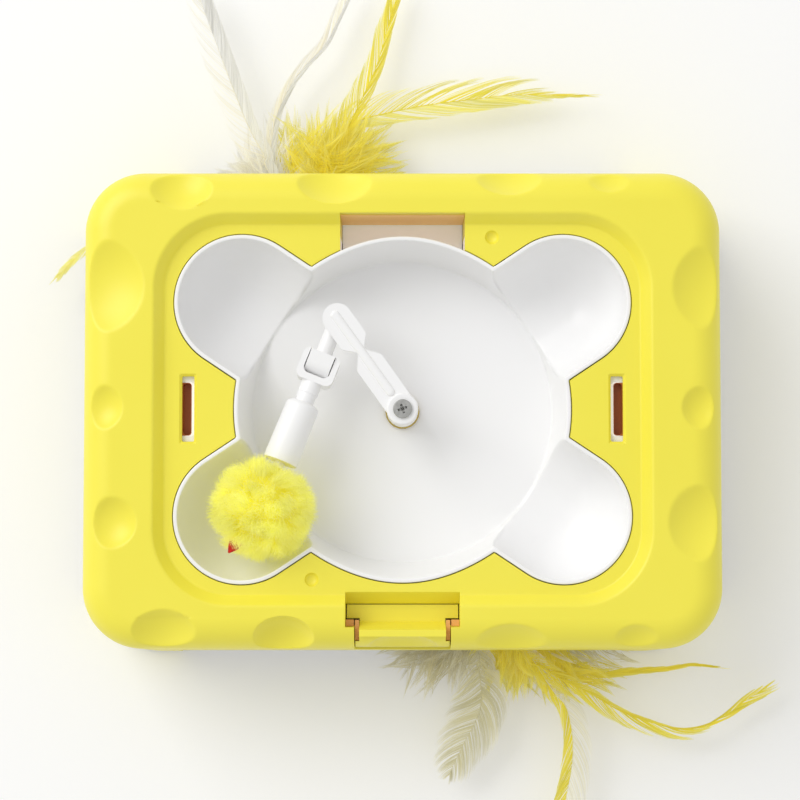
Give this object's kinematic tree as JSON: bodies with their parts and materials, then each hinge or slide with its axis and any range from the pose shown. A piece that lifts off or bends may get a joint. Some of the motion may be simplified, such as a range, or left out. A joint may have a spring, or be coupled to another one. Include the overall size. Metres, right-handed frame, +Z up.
{
  "type": "interactive cat toy",
  "caption": "Battery cat toy: a cheese-like housing round a scooped bowl, with a crank arm dragging a pompom on a rod and a feather rotor sweeping under the chassis.",
  "frame": {"origin": "on the floor under the spindle's axis, which is the middle of the housing", "axes": "+Z up along the spindle, +Y to the rear across the housing's width, +X to the right along its length"},
  "size_m": [0.2767, 0.3327, 0.0826],
  "materials": {
    "yellow_plastic": "satin moulded",
    "white_plastic": "satin moulded",
    "gear_plastic": "natural moulded",
    "dark_plastic": "moulded",
    "brass": "turned",
    "steel": "zinc plated",
    "cell_wrap": "plain wrap",
    "board": "solder mask",
    "rubber": "matte",
    "yellow_fur": "fluffy",
    "red_felt": "felt",
    "white_feather": "feather",
    "yellow_feather": "dyed feather"
  },
  "bodies": {
    "base": {"top_housing": "yellow_plastic", "play_bowl": "white_plastic", "chassis": "white_plastic", "gearbox_cover": "white_plastic", "battery_door": "white_plastic", "motor_can": "steel", "gear_axle": "steel", "upper_bush": "brass", "lower_bush": "brass", "battery_1": "cell_wrap", "battery_2": "cell_wrap", "battery_3": "cell_wrap", "battery_contact_front_bridge": "steel", "battery_contact_front_single": "steel", "battery_contact_rear_bridge": "steel", "battery_contact_rear_single": "steel", "battery_door_screw": "steel", "circuit_board": "board", "switch_body": "dark_plastic", "gearbox_screw_front": "steel", "gearbox_screw_rear": "steel", "housing_screw_front_left": "steel", "housing_screw_front_right": "steel", "housing_screw_rear_left": "steel", "housing_screw_rear_right": "steel", "rubber_foot_front_left": "rubber", "rubber_foot_front_right": "rubber", "rubber_foot_rear_left": "rubber", "rubber_foot_rear_right": "rubber"},
    "spindle": {"spindle_shaft": "steel", "output_gear": "gear_plastic", "crank_arm": "white_plastic", "crank_screw": "steel", "swivel_screw": "steel", "feather_rotor": "white_plastic", "rotor_screw": "steel", "side_feather": "yellow_feather", "white_feather_a": "white_feather", "white_feather_b": "white_feather", "yellow_feather_c": "yellow_feather", "yellow_feather_d": "yellow_feather", "yellow_plume_rear": "yellow_feather", "yellow_feather_g": "yellow_feather", "yellow_feather_f": "yellow_feather", "pale_feather_e": "white_feather", "yellow_plume_front": "yellow_feather"},
    "compound": {"compound_gear": "gear_plastic"},
    "motor": {"motor_shaft": "steel", "motor_pinion": "brass"},
    "link": {"swivel_link": "white_plastic"},
    "rod": {"rod_yoke": "white_plastic", "yoke_pin": "steel", "rod_tube": "white_plastic", "pompom_tie": "white_plastic", "pompom": "yellow_fur", "beak": "red_felt"},
    "latch": {"latch_tongue": "yellow_plastic"},
    "switch": {"switch_knob": "dark_plastic"}
  },
  "joints": [
    {"name": "spindle_spin", "type": "hinge", "parent": "base", "child": "spindle", "pos_m": [0, 0, 0.04], "axis": [0, 0, 1], "continuous": true, "deforming": ["side_feather", "white_feather_a", "white_feather_b", "yellow_feather_c", "yellow_feather_d", "yellow_plume_rear", "yellow_feather_g", "yellow_feather_f", "pale_feather_e", "yellow_plume_front", "pompom", "beak"]},
    {"name": "compound_spin", "type": "hinge", "parent": "base", "child": "compound", "pos_m": [0.01373, -0.00792, 0.033], "axis": [0, 0, 1], "continuous": true},
    {"name": "motor_spin", "type": "hinge", "parent": "base", "child": "motor", "pos_m": [0.02763, -0.00286, 0.033], "axis": [0, 0, 1], "continuous": true},
    {"name": "link_swivel", "type": "hinge", "parent": "spindle", "child": "link", "pos_m": [-0.02352, 0.03285, 0.0575], "axis": [0, 0, 1], "range_deg": [-6, 15]},
    {"name": "rod_pitch", "type": "hinge", "parent": "link", "child": "rod", "pos_m": [-0.02997, 0.01653, 0.0575], "axis": [-0.9299, 0.3679, 0], "range_deg": [0, 60]},
    {"name": "latch_flex", "type": "hinge", "parent": "base", "child": "latch", "pos_m": [0, -0.0701, 0.0568], "axis": [1, 0, 0], "range_deg": [0, 4], "stiffness_Nm_per_rad": 0.5, "springref_deg": -1.15},
    {"name": "switch_slide", "type": "slide", "parent": "base", "child": "switch", "axis": [1, 0, 0], "range_m": [0, 0.004]}
  ],
  "couplings": [
    {"joint": "compound_spin", "follows": "spindle_spin", "ratio": -4},
    {"joint": "motor_spin", "follows": "spindle_spin", "ratio": 17.778}
  ]
}
